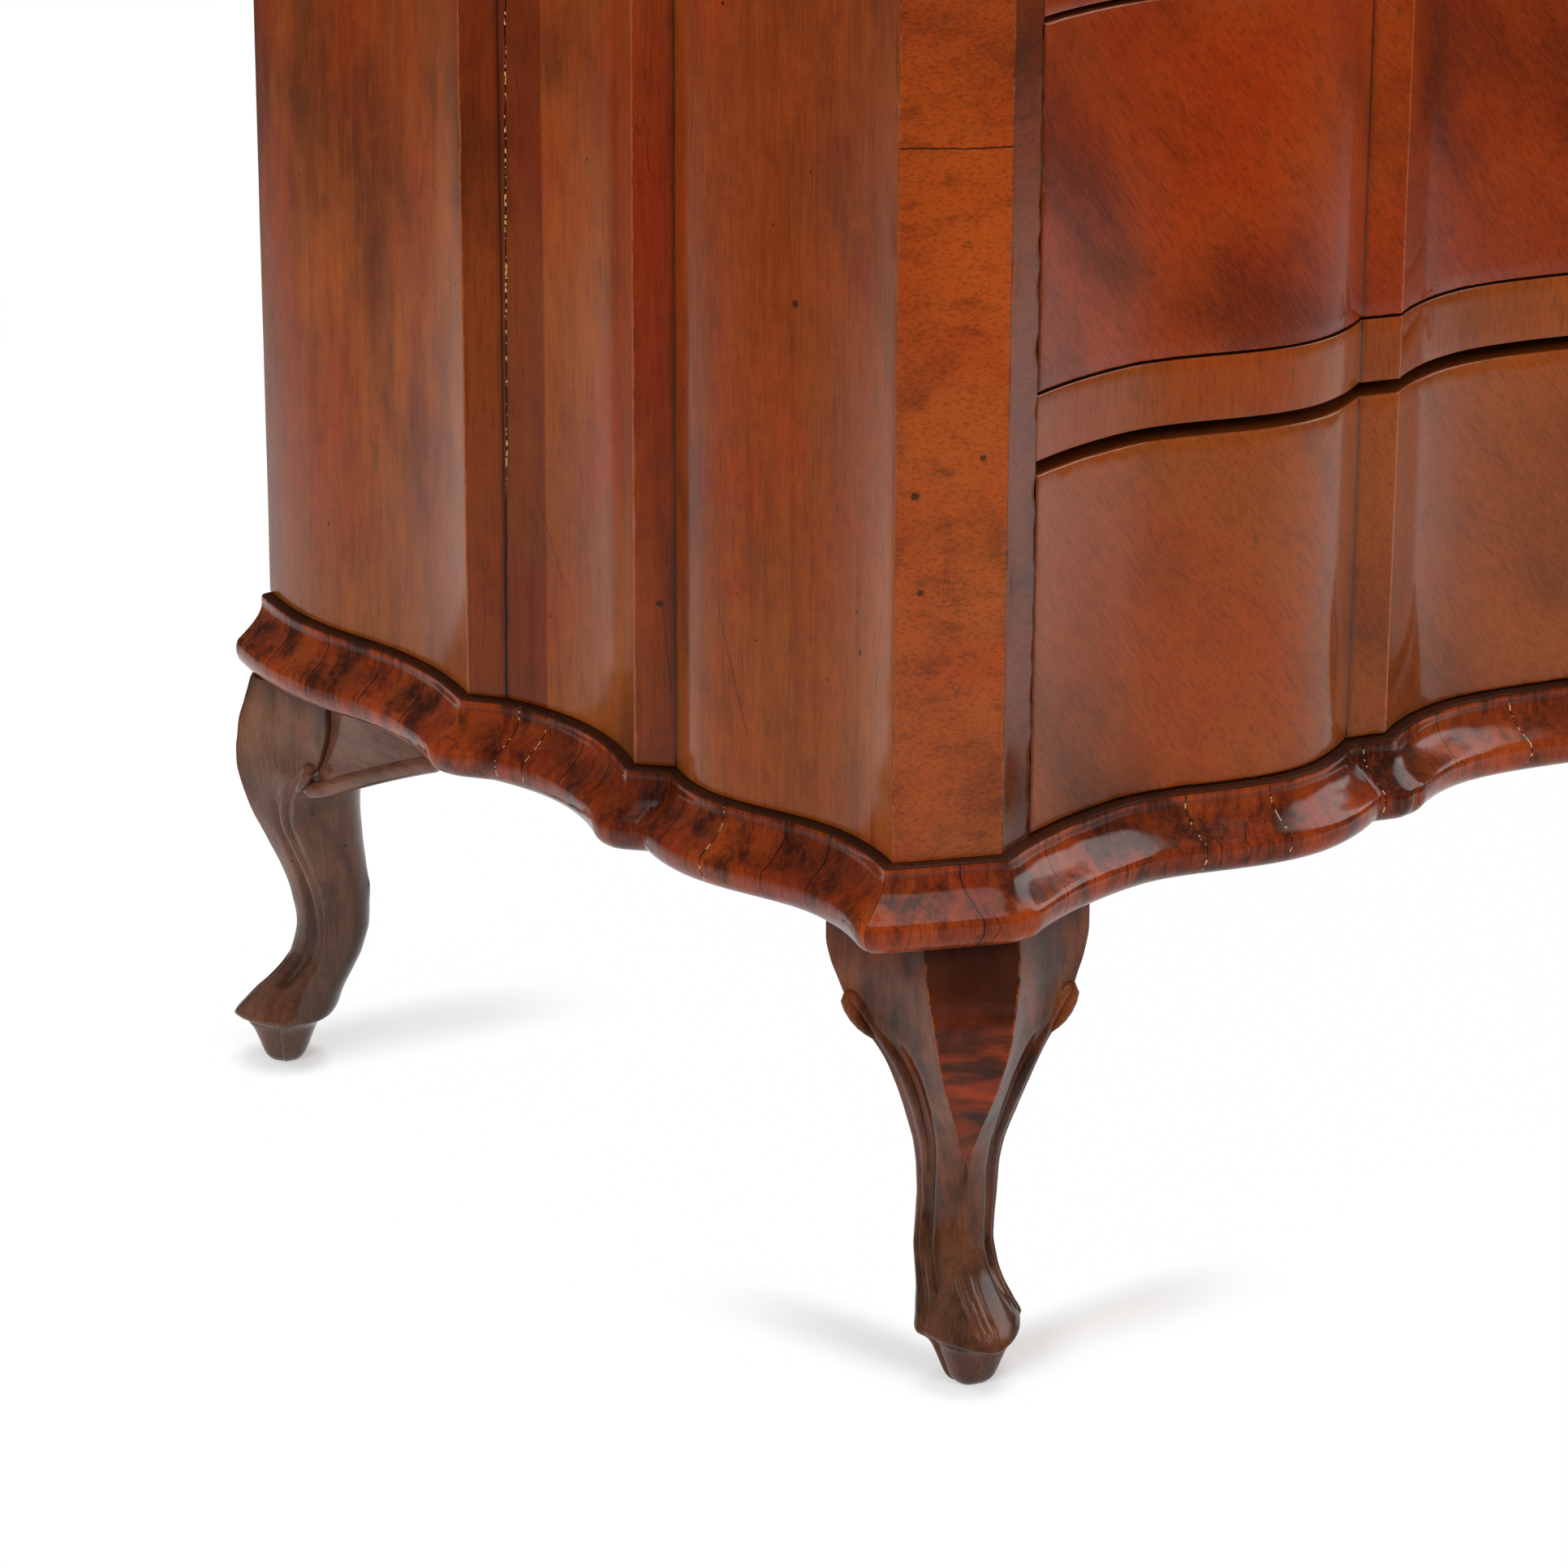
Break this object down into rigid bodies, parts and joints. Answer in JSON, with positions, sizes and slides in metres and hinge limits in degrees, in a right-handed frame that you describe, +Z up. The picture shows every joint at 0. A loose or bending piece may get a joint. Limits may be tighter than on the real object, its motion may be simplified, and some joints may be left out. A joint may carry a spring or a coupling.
{
  "type": "chest of drawers",
  "caption": "Walnut chest of drawers with a serpentine front, hollowed sides, canted corners, a bold base moulding and cabriole legs; the drawers slide and lock.",
  "frame": {"origin": "on the floor under the middle of the chest's bounding box", "axes": "-Y is the way the drawer fronts face, +Z is up, and +X points to the right for someone facing the front"},
  "size_m": [1.1226, 0.5916, 0.85],
  "materials": {
    "walnut_polished": "polished, orange-brown, fine mottled figure",
    "walnut_side": "polished, mid brown, fine upright grain",
    "walnut_dark": "polished, dark red-brown, grain across the moulding",
    "walnut_leg": "worn satin, dark brown",
    "poplar_inside": "unpolished",
    "pine_bottom": "unpolished",
    "iron_lock": "dull grey",
    "brass_old": "aged, satin"
  },
  "bodies": {
    "case": {"top_board": "walnut_polished", "side_left": "walnut_side", "side_right": "walnut_side", "post_front_left": "walnut_side", "post_front_right": "walnut_side", "post_back_left": "poplar_inside", "post_back_right": "poplar_inside", "back_panel": "poplar_inside", "rail_lower": "walnut_polished", "rail_middle": "walnut_polished", "rail_top": "walnut_polished", "bottom_board": "poplar_inside", "guide_lower_left": "poplar_inside", "guide_lower_right": "poplar_inside", "runner_middle_left": "poplar_inside", "runner_middle_right": "poplar_inside", "runner_upper_left": "poplar_inside", "runner_upper_right": "poplar_inside", "moulding_front": "walnut_dark", "moulding_left": "walnut_dark", "moulding_right": "walnut_dark", "base_rail_back": "poplar_inside", "corner_block_left": "poplar_inside", "corner_block_right": "poplar_inside", "leg_front_left": "walnut_leg", "leg_front_right": "walnut_leg", "leg_back_left": "walnut_leg", "leg_back_right": "walnut_leg", "bracket_back_left": "walnut_leg", "bracket_back_right": "walnut_leg"},
    "drawer_lower": {"drawer_lower_front": "walnut_polished", "drawer_lower_side_left": "poplar_inside", "drawer_lower_side_right": "poplar_inside", "drawer_lower_back": "poplar_inside", "drawer_lower_bottom": "pine_bottom", "lock_lower_case": "iron_lock", "lock_lower_escutcheon": "brass_old"},
    "key_lower": {"lock_lower_key": "brass_old"},
    "bolt_lower": {"lock_lower_bolt": "iron_lock"},
    "drawer_middle": {"drawer_middle_front": "walnut_polished", "drawer_middle_side_left": "poplar_inside", "drawer_middle_side_right": "poplar_inside", "drawer_middle_back": "poplar_inside", "drawer_middle_bottom": "pine_bottom", "lock_middle_case": "iron_lock", "lock_middle_escutcheon": "brass_old"},
    "key_middle": {"lock_middle_key": "brass_old"},
    "bolt_middle": {"lock_middle_bolt": "iron_lock"},
    "drawer_upper": {"drawer_upper_front": "walnut_polished", "drawer_upper_side_left": "poplar_inside", "drawer_upper_side_right": "poplar_inside", "drawer_upper_back": "poplar_inside", "drawer_upper_bottom": "pine_bottom", "lock_upper_case": "iron_lock", "lock_upper_escutcheon": "brass_old"},
    "key_upper": {"lock_upper_key": "brass_old"},
    "bolt_upper": {"lock_upper_bolt": "iron_lock"}
  },
  "joints": [
    {"name": "drawer_lower_slide", "type": "slide", "parent": "case", "child": "drawer_lower", "axis": [0, -1, 0], "range_m": [0, 0.33]},
    {"name": "key_lower_turn", "type": "hinge", "parent": "drawer_lower", "child": "key_lower", "pos_m": [0, -0.2623, 0.3833], "axis": [0, 1, 0], "range_deg": [0, 90]},
    {"name": "bolt_lower_slide", "type": "slide", "parent": "drawer_lower", "child": "bolt_lower", "axis": [0, 0, 1], "range_m": [0, 0.012]},
    {"name": "drawer_middle_slide", "type": "slide", "parent": "case", "child": "drawer_middle", "axis": [0, -1, 0], "range_m": [0, 0.33]},
    {"name": "key_middle_turn", "type": "hinge", "parent": "drawer_middle", "child": "key_middle", "pos_m": [0, -0.2623, 0.58], "axis": [0, 1, 0], "range_deg": [0, 90]},
    {"name": "bolt_middle_slide", "type": "slide", "parent": "drawer_middle", "child": "bolt_middle", "axis": [0, 0, 1], "range_m": [0, 0.012]},
    {"name": "drawer_upper_slide", "type": "slide", "parent": "case", "child": "drawer_upper", "axis": [0, -1, 0], "range_m": [0, 0.33]},
    {"name": "key_upper_turn", "type": "hinge", "parent": "drawer_upper", "child": "key_upper", "pos_m": [0, -0.2623, 0.7595], "axis": [0, 1, 0], "range_deg": [0, 90]},
    {"name": "bolt_upper_slide", "type": "slide", "parent": "drawer_upper", "child": "bolt_upper", "axis": [0, 0, 1], "range_m": [0, 0.012]}
  ],
  "couplings": [
    {"joint": "key_lower_turn", "follows": "bolt_lower_slide", "rad_per_m": 130.89},
    {"joint": "key_middle_turn", "follows": "bolt_middle_slide", "rad_per_m": 130.89},
    {"joint": "key_upper_turn", "follows": "bolt_upper_slide", "rad_per_m": 130.89}
  ]
}
